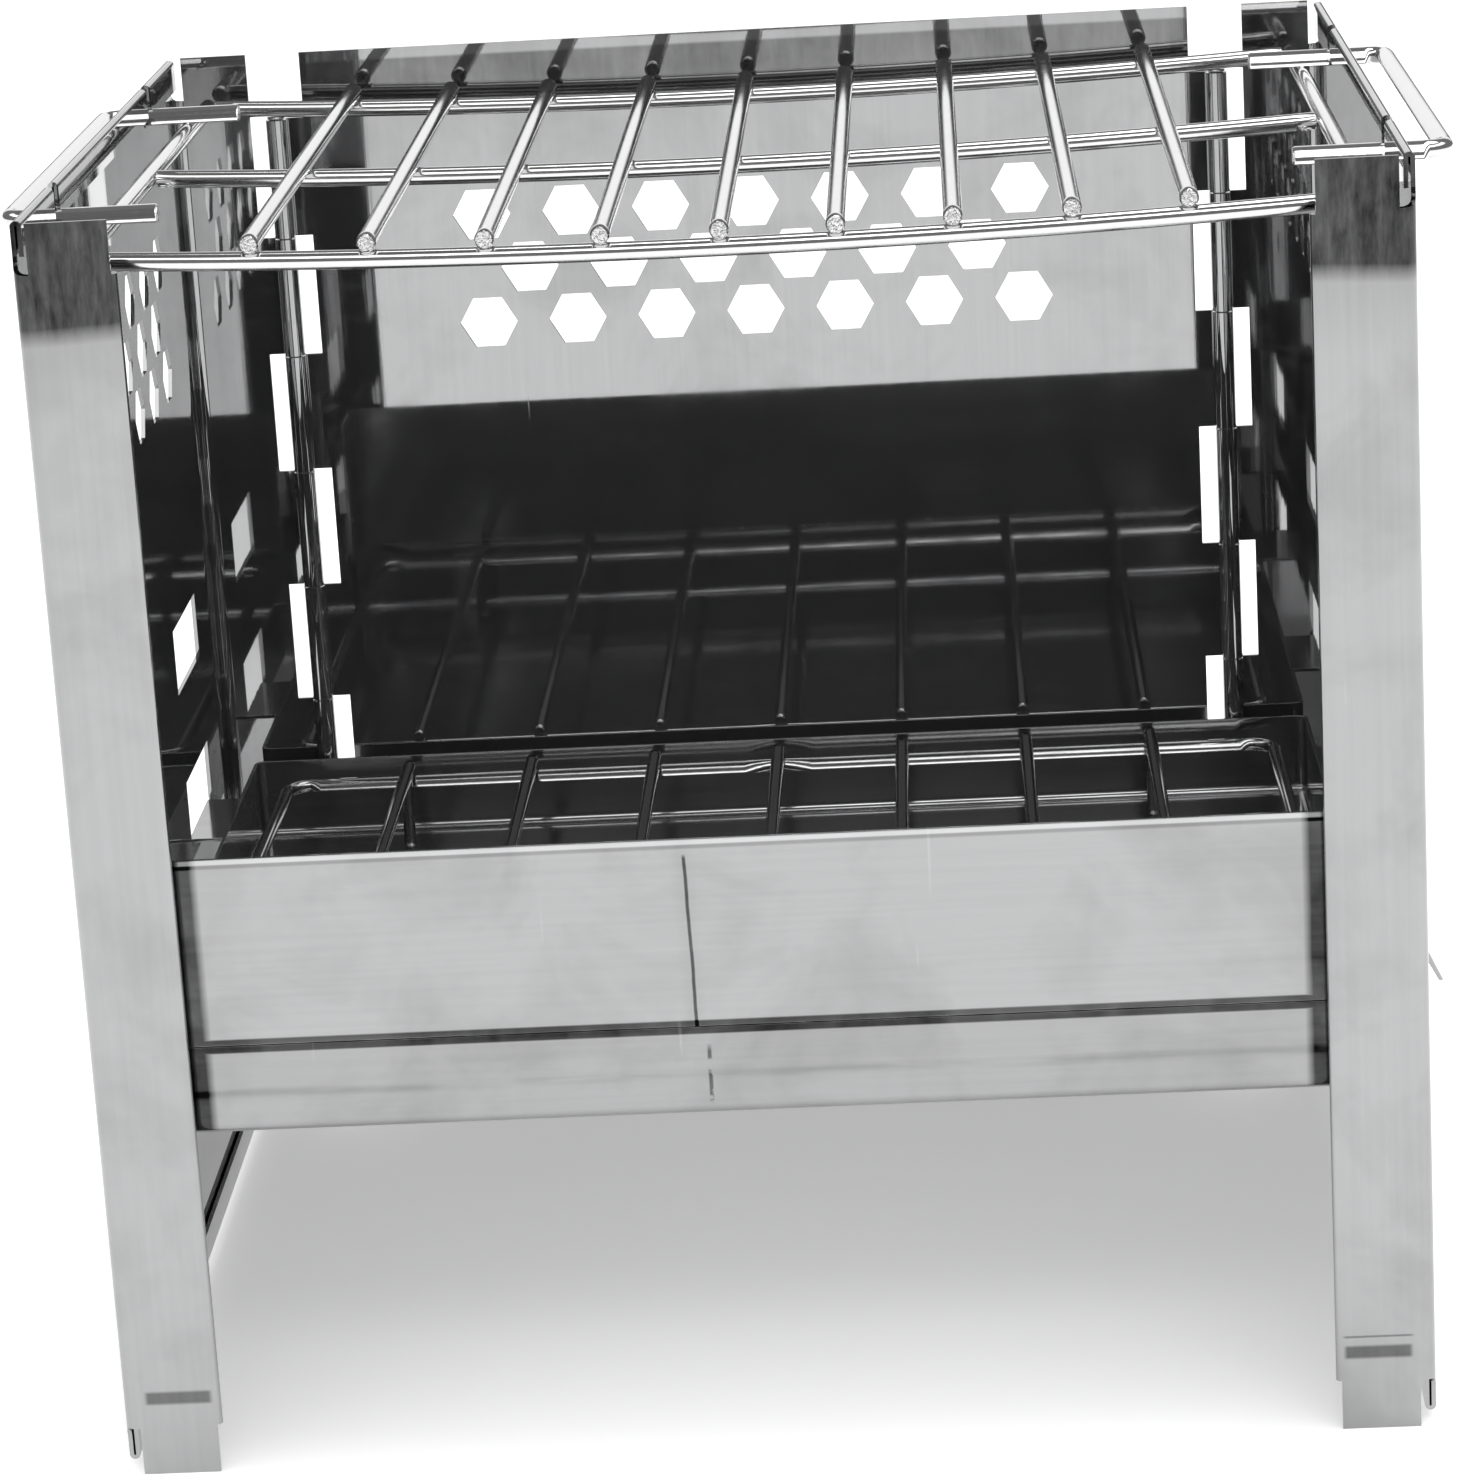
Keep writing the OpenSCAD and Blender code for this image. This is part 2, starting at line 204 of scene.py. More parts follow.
def makeFloor():
    side, front = studio["floorSide"], studio["floorFront"]
    mesh = bpy.data.meshes.new("floor")
    corners = [(-side, -front, 0.0), (side, -front, 0.0), (side, side, 0.0), (-side, side, 0.0)]
    mesh.from_pydata(corners, [], [(0, 1, 2, 3)])
    floor = bpy.data.objects.new("floor", mesh)
    bpy.context.scene.collection.objects.link(floor)
    paint = bpy.data.materials.new("paleFloor")
    paint.use_nodes = True
    weave = Weave(paint.node_tree)
    shader = paint.node_tree.nodes["Principled BSDF"]
    at = weave.add("ShaderNodeTexCoord", out="Object")
    cloudy = weave.noise(at, 3.0, 2.0)
    shader.inputs["Base Color"].default_value = studio["floorColour"]
    join(paint.node_tree, studio["floorRough"] + studio["floorCloud"] * cloudy, shader.inputs["Roughness"])
    shader.inputs["Specular IOR Level"].default_value = 0.1
    shader.inputs["Emission Color"].default_value = (1.0, 1.0, 1.0, 1.0)
    shader.inputs["Emission Strength"].default_value = studio["floorGlow"]
    mesh.materials.append(paint)


def makeRoom():
    # the floor gets even light, and the steel sees dark walls, a band of soft boxes in front
    # and at the sides, and a white backdrop behind
    world = bpy.data.worlds.new("room")
    bpy.context.scene.world = world
    world.use_nodes = True
    tree = world.node_tree
    weave = Weave(tree)
    y, z = weave.split(weave.add("ShaderNodeTexCoord", out="Generated"))[1:]
    edges = roomEdges
    band = weave.stripe(z, edges["ringLow"], edges["ringHigh"])
    band = band * weave.rise(0.5 - 0.5 * y, *edges["ringFront"])
    inside = weave.rise(z, *edges["ceiling"])
    behind = weave.rise(y, *edges["backdropSide"])
    behind = behind * weave.stripe(z, edges["backdropLow"], edges["backdropHigh"])
    room = studio["wall"] + (studio["ring"] - studio["wall"]) * band
    room = room + (studio["ceiling"] - studio["wall"]) * inside
    room = room + (studio["backdrop"] - studio["wall"]) * behind
    camera = weave.add("ShaderNodeLightPath", out="Is Camera Ray")
    soft = weave.add("ShaderNodeLightPath", out="Is Diffuse Ray")
    strength = room * (1 - soft) + studio["ambient"] * soft
    strength = strength * (1 - camera) + studio["background"] * camera
    join(tree, strength, tree.nodes["Background"].inputs["Strength"])
    tree.nodes["Background"].inputs["Color"].default_value = (1.0, 1.0, 1.0, 1.0)


def makeLight(name, look):
    data = bpy.data.lights.new(name, "AREA")
    data.shape = "RECTANGLE"
    data.size, data.size_y = look["size"]
    data.energy = look["power"]
    light = bpy.data.objects.new(name, data)
    light.location = look["place"]
    facing = Vector(look["target"]) - Vector(look["place"])
    light.rotation_euler = facing.to_track_quat("-Z", "Y").to_euler()
    bpy.context.scene.collection.objects.link(light)


def makeStudio():
    makeCamera()
    makeFloor()
    makeRoom()
    for name, look in lights.items():
        makeLight(name, look)
    bpy.context.scene.view_settings.view_transform = "Standard"


makeStudio()
print("studio done")

# Finishes

# one row for each sheet finish: grain is about how many streaks a metre holds along X, Y and Z
steelLooks = {
    "panelSteel": {
        "tone": 0.365, "rough": 0.022, "grain": (900.0, 900.0, 16.0), "wave": 0.16, "smudge": 0.014},
    "plateSteel": {
        "tone": 0.365, "rough": 0.12, "grain": (16.0, 900.0, 900.0), "wave": 0.2, "smudge": 0.04},
    "traySteel": {
        "tone": 0.33, "rough": 0.10, "grain": (16.0, 900.0, 900.0), "wave": 0.4, "smudge": 0.08},
    "pinSteel": {
        "tone": 0.52, "rough": 0.12, "grain": (600.0, 600.0, 20.0), "wave": 0.0, "smudge": 0.12},
}

# what all sheet shares
sheetSkin = {
    "smudgeScale": 38.0,               # cloudy finger marks
    "fineScale": (260.0, 260.0, 260.0),
    "scratchScale": (700.0, 45.0, 45.0),
    "scratchTurn": (0.5, 0.35, 0.7),
    "wearScale": 160.0,                # broken patches of wear along the edges
    "rippleScale": (11.0, 11.0, 7.0),  # rolled sheet is never quite flat
    "rippleDepth": 0.0011,
    "grainDepth": 0.000005,
    "smearTone": 0.05,
    "lineTone": 0.05,
    "lineRough": 0.10,
    "wornTone": 0.16,
    "wornRough": 0.14,
    "metal": 0.93,                     # a film of grease and dust takes the last of the mirror away
}


def bandMask(place, middle, half, soft):
    # one along a band, falling to nothing past its soft edge
    return (1 - ((place - middle).absolute() - half) / soft).clipped()


legLook = {
    "skinBack": 0.0015,      # middle of the skin that is marked, behind the front face
    "skinHalf": 0.0022,
    "pressUp": 0.0150,       # painted shade of a pressed step across the leg, above the ground
    "pressHalf": 0.0009,
    "pressSoft": 0.0006,
    "lineUp": 0.0180,        # thin line above it, on the right leg only
    "lineHalf": 0.0001,
    "lineSoft": 0.0002,
    "lineLonger": 0.0002,    # it reaches this much further to each side
    "linePart": 0.8,
    "markIn": 0.0105,        # middle of both, in from the outer face
    "markHalf": 0.0056,
    "markSoft": 0.0008,
    "pressShadeTone": 0.22,
    "pressRough": 0.2,
    "topReflectionDown": 0.0208,     # lower edge of the painted dark reflection on the tips, below the top
    "topReflectionSoft": 0.0010,
    "haloDown": 0.0340,      # where the painted dark reflection starts to show
    "haloEnd": 0.0205,
    "haloPart": 0.16,
    "slant": 0.05,
    "slantIn": 0.010,        # where the slanting edge has its stated height, in from the outer face
    "railDown": 0.0115,      # darker strip along the top of the rear sheets
    "railSoft": 0.0013,
    "railTop": 0.0025,
    "railFade": 0.0006,
    "railBack": 0.011,       # depth of the rear sheets that have it
    "railPart": 0.55,
    "streakScale": (420.0, 420.0, 90.0),
    # tone taken off by the painted dark reflection on the tips, broken by smudge streaks, and by the darker
    # top strip
    "darkTopTone": 0.335,
    "darkTopRough": 0.06,
}


def legMarksAndPaintedLight(weave, at, place):
    # painted shade of a pressed step near the ends of the front legs, a painted dark reflection on the tips
    # broken by smudge streaks, and a darker top strip behind
    look = legLook
    x, y, z = place
    low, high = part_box("left_side_panel")
    front = (y - (low.y + look["skinBack"])).absolute().under(look["skinHalf"])
    middle = -low.x - look["markIn"]
    mark = bandMask(z, look["pressUp"], look["pressHalf"], look["pressSoft"])
    mark = mark * bandMask(x.absolute(), middle, look["markHalf"], look["markSoft"])
    thin = bandMask(z, look["lineUp"], look["lineHalf"], look["lineSoft"])
    thin = thin * bandMask(x, middle, look["markHalf"] + look["lineLonger"], look["markSoft"])
    # painted shade along the pressed step, and along the thin line above it
    pressShade = front * (mark.largest(look["linePart"] * thin)).clipped()
    slanted = z + look["slant"] * (x.absolute() - (-low.x - look["slantIn"]))
    edge = high.z - look["topReflectionDown"]
    # painted dark reflection on the tips, with a slanting lower edge
    topReflection = front * weave.rise(slanted, edge, edge + look["topReflectionSoft"])
    halo = front * weave.rise(slanted, high.z - look["haloDown"], high.z - look["haloEnd"])
    start = high.z - look["railDown"]
    rail = weave.rise(z, start, start + look["railSoft"]) * y.over(high.y - look["railBack"])
    rail = (rail * (1 - (z - (high.z - look["railTop"])) / look["railFade"]).clipped()).clipped()
    streaks = weave.noise(weave.stretched(at, look["streakScale"]), 1.0, 4.0, 0.7)
    streaks = weave.ramp(streaks, (0.30, 0.80), (0.70, 1.0))
    mottled = (topReflection * streaks).largest(look["railPart"] * rail * streaks)
    mottled = mottled.largest(look["haloPart"] * halo * streaks)
    darker = look["pressShadeTone"] * pressShade + look["darkTopTone"] * mottled
    rougher = look["pressRough"] * pressShade + look["darkTopRough"] * mottled
    return darker, rougher


frontLook = {
    "skin": 0.0006,          # depth of the front skin that is marked
    "legWide": 0.0172,       # width of a leg
    "endBand": 0.0032,       # painted shade and dark reflection in a band beside each leg
    "endSoft": 0.0016,
    "jointHalf": 0.0006,     # half height of the painted shade line where the plate meets the tray
    "jointSoft": 0.0003,
    "cloudScale": (120.0, 120.0, 60.0),
}


def frontShade(weave, at, place, node, joint):
    # painted shade and dark reflection in bands beside the legs, and a painted shade line along one edge of
    # a front wall
    look = frontLook
    x, y, z = place
    legEdge = -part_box("left_side_panel")[0].x - look["legWide"]
    front = (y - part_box(node)[0].y).absolute().under(look["skin"])
    cloudy = weave.noise(weave.stretched(at, look["cloudScale"]), 1.0, 3.0, 0.6)
    # painted shade and dark reflection beside each leg
    ends = bandMask(x.absolute(), legEdge, look["endBand"], look["endSoft"]) * (0.75 + 0.5 * cloudy)
    # painted shade line along the joint
    line = bandMask(z, joint, look["jointHalf"], look["jointSoft"]) * (0.8 + 0.4 * cloudy)
    return front * ends.largest(line).clipped(), front


trayLook = {
    "jointDown": 0.0006,     # painted shade: dark line below the rim
    # tone of the painted shade beside the legs and along the joint
    "legAndJointShadeTone": 0.27,
    "rubUp": 0.0079,         # rub line left by the press, above the tray's underside
    "rubHalf": 0.0002,
    "rubSoft": 0.0011,
    "rubTone": 0.07,
    "rubRough": 0.05,
    "drift": 0.0012,
    "lowReflectionLeft": 0.0086,     # broken upright painted reflection of the board seam, left of the middle
    "lowReflectionHigh": 0.0044,
    "lowReflectionEnds": 0.0016,
    "lowReflectionHalf": 0.0002,
    "lowReflectionSoft": 0.0003,
    "lowReflectionTone": 0.20,
    "lowReflectionRough": 0.2,
}


def trayMarksAndPaintedLight(weave, at, place):
    # rub line along the front wall, a broken painted reflection of a board seam, and painted shade beside
    # the legs and along the joint under the plate
    look = trayLook
    x, y, z = place
    low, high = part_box("charcoal_tray")
    dark, front = frontShade(weave, at, place, "charcoal_tray", high.z - look["jointDown"])
    middle = low.z + look["rubUp"]
    drift = look["drift"] * (weave.noise(weave.stretched(at, (18.0, 0.0, 0.0)), 1.0, 2.0) - 0.5)
    streak = weave.noise(weave.stretched(at, (30.0, 30.0, 400.0)), 1.0, 3.0)
    streak = weave.ramp(streak, (0.40, 0.1), (0.62, 1.0))
    rub = front * bandMask(z + drift, middle, look["rubHalf"], look["rubSoft"]) * streak
    broken = weave.noise(weave.stretched(at, (300.0, 300.0, 700.0)), 1.0, 3.0)
    broken = weave.ramp(broken, (0.40, 0.0), (0.50, 1.0))
    # painted reflection of the board seam, broken up
    lowSeamReflection = front * bandMask(z, middle, look["lowReflectionHigh"], look["lowReflectionEnds"])
    upright = bandMask(x + 3 * drift, -look["lowReflectionLeft"], look["lowReflectionHalf"], look["lowReflectionSoft"])
    lowSeamReflection = lowSeamReflection * upright * broken
    darker = look["rubTone"] * rub + look["lowReflectionTone"] * lowSeamReflection + look["legAndJointShadeTone"] * dark
    rougher = look["rubRough"] * rub + look["lowReflectionRough"] * lowSeamReflection
    return darker, rougher


plateLook = {
    "jointUp": 0.0004,       # painted shade: dark line above the lower edge
    # tone of the painted shade beside the legs and along the joint
    "legAndJointShadeTone": 0.28,
    "seamLeft": 0.0112,      # painted reflection of the seam between two studio boards: thin upright line, left of the middle
    "seamHalf": 0.0002,
    "seamSoft": 0.0002,
    "seamLean": 0.02,
    "seamWander": 0.0006,
    "seamDown": 0.0035,      # it stops this far below the rim
    "seamFade": 0.0008,
    "seamReflectionTone": 0.25,
    "seamRough": 0.15,
    "shadeLeft": 0.0004,     # painted reflection of the darker board: faint shade, a little to the left of the reflected seam
    "shadeHalf": 0.0002,
    "shadeSoft": 0.0022,
    "shadeTone": 0.02,
    "rimDown": 0.0006,       # painted highlight: pale line along the rim, and a darker one under it
    "rimHalf": 0.0003,
    "rimSoft": 0.0002,
    "rimHighlightTone": 0.14,
    "underDown": 0.0014,
    "underHalf": 0.0002,
    "underSoft": 0.0003,
    "underTone": 0.10,
}


def plateMarksAndPaintedLight(weave, at, place):
    # painted shade beside the legs and along the joint above the tray, a painted reflection of an upright
    # board seam, and a painted highlight along the rim
    look = plateLook
    x, y, z = place
    low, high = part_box("front_plate")
    dark, front = frontShade(weave, at, place, "front_plate", low.z + look["jointUp"])
    wander = look["seamWander"] * (weave.noise(weave.stretched(at, (0.0, 0.0, 90.0)), 1.0, 2.0) - 0.5)
    lean = look["seamLean"] * (high.z - z)
    # painted reflection of the board seam
    seamReflection = bandMask(x - lean - wander, -look["seamLeft"], look["seamHalf"], look["seamSoft"])
    seamReflection = seamReflection * (1 - (z - high.z + look["seamDown"]) / look["seamFade"]).clipped() * front
    beside = -look["seamLeft"] - look["shadeLeft"]
    # painted reflection of the darker board beside the seam
    shade = bandMask(x - lean, beside, look["shadeHalf"], look["shadeSoft"]) * front
    # painted highlight along the rim
    rim = bandMask(z, high.z - look["rimDown"], look["rimHalf"], look["rimSoft"]) * front
    under = bandMask(z, high.z - look["underDown"], look["underHalf"], look["underSoft"]) * front
    darker = look["legAndJointShadeTone"] * dark + look["seamReflectionTone"] * seamReflection + look["shadeTone"] * shade
    darker = darker - look["rimHighlightTone"] * rim + look["underTone"] * under
    return darker, look["seamRough"] * seamReflection


def steelSheet(name, marksAndPaintedLight=None):
    # polished sheet: rolling grain, smears, scratches, worn edges and the piece's own marks, which include
    # painted shade, reflections and highlights
    look, skin = steelLooks[name], sheetSkin
    steel = bpy.data.materials.new(name)
    steel.use_nodes = True
    tree = steel.node_tree
    weave = Weave(tree)
    shader = tree.nodes["Principled BSDF"]
    at = weave.add("ShaderNodeTexCoord", out="Object")
    grain = weave.noise(weave.stretched(at, look["grain"]), 1.0, 3.0, 0.6)
    smear = weave.ramp(weave.noise(at, skin["smudgeScale"], 4.0, 0.62, 0.4), (0.46, 0.0), (0.68, 1.0))
    fine = weave.noise(weave.stretched(at, skin["fineScale"]), 1.0, 3.0, 0.7)
    scratch = weave.noise(weave.stretched(at, skin["scratchScale"], skin["scratchTurn"]), 1.0, 1.0)
    line = weave.ramp(scratch, (0.78, 0.0), (0.84, 1.0))
    worn = weave.add("ShaderNodeAttribute", {"attribute_name": "wear"}, out="Fac")
    worn = worn * weave.ramp(weave.noise(at, skin["wearScale"], 3.0), (0.35, 0.2), (0.65, 1.0))
    rough = look["rough"] * (1 + 0.8 * (grain - 0.5) + 0.6 * (fine - 0.5)) + look["smudge"] * smear
    rough = rough + skin["lineRough"] * line + skin["wornRough"] * worn
    tone = look["tone"] - skin["smearTone"] * smear + 0.05 * (grain - 0.5)
    tone = tone + skin["lineTone"] * line + skin["wornTone"] * worn
    if marksAndPaintedLight:
        darker, rougher = marksAndPaintedLight(weave, at, weave.split(at))
        tone = tone - darker
        rough = rough + rougher
    colour = weave.add("ShaderNodeCombineXYZ", {}, {"X": tone * 0.995, "Y": tone, "Z": tone * 1.01})
    join(tree, colour, shader.inputs["Base Color"])
    join(tree, rough.clipped(), shader.inputs["Roughness"])
    shader.inputs["Metallic"].default_value = skin["metal"]
    ripple = weave.noise(weave.stretched(at, skin["rippleScale"]), 1.0, 1.0, 0.4)
    wavy = weave.add("ShaderNodeBump", {}, {
        "Strength": 0.35, "Distance": skin["rippleDepth"] * look["wave"], "Height": ripple})
    bump = weave.add("ShaderNodeBump", {}, {
        "Strength": 0.3, "Distance": skin["grainDepth"], "Height": grain + 0.2 * fine - 0.8 * line,
        "Normal": wavy})
    join(tree, bump, shader.inputs["Normal"])
    return steel


wireLooks = {
    "netWire": {"tone": 0.66, "rough": 0.10, "heat": 0.45, "draw": 0.10},
    "grateWire": {"tone": 0.36, "rough": 0.12, "heat": 0.7, "draw": 0.14},
}

# what all wire shares
wireSkin = {
    "dieScale": (900.0, 900.0, 900.0),
    "drawScale": (140.0, 140.0, 500.0),
    "speckScale": 1500.0,
    "tornScale": 1700.0,
    "sootTone": 0.28,
    "sootRough": 0.14,
    "spatterTone": 0.3,
    "spatterRough": 0.12,
    "spatterHigh": 2.5,
    "tornTone": 0.12,
    "tornRough": 0.12,
    "tornHigh": 30.0,
    "strawGreen": 0.05,      # heat tint takes a little green and more blue away
    "strawBlue": 0.13,
    "depth": 0.000008,
}


def steelWire(name):
    # drawn wire: die lines along the rod, heat tint and spatter round each weld
    look, skin = wireLooks[name], wireSkin
    steel = bpy.data.materials.new(name)
    steel.use_nodes = True
    tree = steel.node_tree
    weave = Weave(tree)
    shader = tree.nodes["Principled BSDF"]
    at = weave.add("ShaderNodeTexCoord", out="Object")
    heat = weave.add("ShaderNodeAttribute", {"attribute_name": "heat"}, out="Fac")
    cut = weave.add("ShaderNodeAttribute", {"attribute_name": "cutEnd"}, out="Fac")
    die = weave.noise(weave.stretched(at, skin["dieScale"]), 1.0, 2.0, 0.6)
    drawn = weave.noise(weave.stretched(at, skin["drawScale"]), 1.0, 3.0, 0.7)
    speck = weave.ramp(weave.noise(at, skin["speckScale"], 2.0, 0.7), (0.50, 0.0), (0.57, 1.0))
    soot = (heat * (0.35 + 0.9 * drawn)).clipped()
    spatter = (soot * speck).clipped()
    torn = cut * weave.ramp(weave.noise(at, skin["tornScale"], 2.0), (0.4, 0.0), (0.6, 1.0))
    tone = look["tone"] - look["heat"] * skin["sootTone"] * soot - skin["spatterTone"] * spatter
    tone = tone + 0.06 * (die - 0.5) - skin["tornTone"] * torn
    rough = look["rough"] + look["draw"] * (drawn - 0.4).clipped() + skin["sootRough"] * soot
    rough = rough + skin["spatterRough"] * spatter + skin["tornRough"] * torn
    straw = weave.add("ShaderNodeCombineXYZ", {}, {
        "X": tone, "Y": tone * (1 - skin["strawGreen"] * soot), "Z": tone * (1 - skin["strawBlue"] * soot)})
    join(tree, straw, shader.inputs["Base Color"])
    join(tree, rough.clipped(), shader.inputs["Roughness"])
    shader.inputs["Metallic"].default_value = 1.0
    height = die + skin["spatterHigh"] * spatter + drawn + skin["tornHigh"] * torn
    bump = weave.add("ShaderNodeBump", {}, {"Strength": 0.5, "Distance": skin["depth"], "Height": height})
    join(tree, bump, shader.inputs["Normal"])
    return steel


finishes = {
    "panel": steelSheet("panelSteel", legMarksAndPaintedLight),
    "plate": steelSheet("plateSteel", plateMarksAndPaintedLight),
    "tray": steelSheet("traySteel", trayMarksAndPaintedLight),
    "pin": steelSheet("pinSteel"),
    "net": steelWire("netWire"),
    "grate": steelWire("grateWire"),
}
print("finishes done")

# Sheet pieces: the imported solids' own shape, with broken edges and true bends

sheetEdges = {
    "bevel": 0.00011,       # edge break on cut sheet
    "sharp": 38.0,          # degrees past which an edge is a cut edge
    "flat": 0.35,           # degrees under which neighbours are one face
    "merge": 2e-6,          # corners nearer than this are one corner
    "evenWeight": 60,
}

pinEdges = {
    "bevel": 0.0003,        # rounded rim of the pins' heads
    "ease": 0.00004,        # taken off all round, so that a pin turns free of its knuckles
}


def middleOf(node):
    low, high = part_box(node)
    return (low + high) / 2, low, high


def finishedObject(name, mesh, body, stands):
    piece = bpy.data.objects.new(name, mesh)
    bpy.context.scene.collection.objects.link(piece)
    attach(piece, body)
    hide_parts(*stands)
    return piece


def sheetPiece(name, node, body, finish, look=sheetEdges):
    shape = bmesh.new()
    shape.from_mesh(nodes[node].data)
    bmesh.ops.remove_doubles(shape, verts=shape.verts, dist=sheetEdges["merge"])
    bmesh.ops.dissolve_limit(shape, angle_limit=math.radians(sheetEdges["flat"]),
                             verts=shape.verts, edges=shape.edges)
    limit = math.radians(sheetEdges["sharp"])
    cutEdges = [e for e in shape.edges if e.is_manifold and e.calc_face_angle(0.0) > limit]
    wear = shape.faces.layers.float.new("wear")
    made = bmesh.ops.bevel(shape, geom=cutEdges, offset=look["bevel"], offset_type="OFFSET", segments=2,
                           profile=0.5, affect="EDGES", clamp_overlap=True)
    for face in made["faces"]:
        face[wear] = 1.0
    for face in shape.faces:
        face.smooth = True
        face.material_index = 0
    for edge in shape.edges:
        edge.smooth = not (edge.is_manifold and edge.calc_face_angle(0.0) > limit)
    if "ease" in look:
        middle = middleOf(node)[0]
        for corner in shape.verts:
            out = Vector((corner.co.x - middle.x, corner.co.y - middle.y, 0.0))
            corner.co -= out.normalized() * look["ease"]
    mesh = bpy.data.meshes.new(name)
    shape.to_mesh(mesh)
    shape.free()
    mesh.materials.clear()
    mesh.materials.append(finish)
    piece = finishedObject(name, mesh, body, [node])
    even = piece.modifiers.new("evenNormals", "WEIGHTED_NORMAL")
    even.keep_sharp = True
    even.weight = sheetEdges["evenWeight"]


sheetPiece("backPanelSheet", "back_panel", "frame_back", finishes["panel"])
sheetPiece("leftPanelSheet", "left_side_panel", "left_side", finishes["panel"])
sheetPiece("rightPanelSheet", "right_side_panel", "right_side", finishes["panel"])
sheetPiece("trayPan", "charcoal_tray", "tray", finishes["tray"])
sheetPiece("frontPlateSheet", "front_plate", "plate", finishes["plate"])
sheetPiece("leftPin", "left_hinge_pin", "frame_back", finishes["pin"], pinEdges)
sheetPiece("rightPin", "right_hinge_pin", "frame_back", finishes["pin"], pinEdges)
print("sheet pieces done")

# Wire pieces: Geometry Nodes sweep a wire along each path and set a bead on each weld

beadLook = {
    "rounds": 3,                       # how finely a bead's ball is divided
    "turnLow": (-0.25, -0.25, -3.1),   # radians, tilted a little and spun any way round
    "turnHigh": (0.25, 0.25, 3.1),
    "sizeLow": (0.85, 0.85, 0.42),     # flattened along Z
    "sizeHigh": (1.2, 1.2, 0.62),
    "lumpScale": 1400.0,
    "lumpDepth": 0.0006,
}


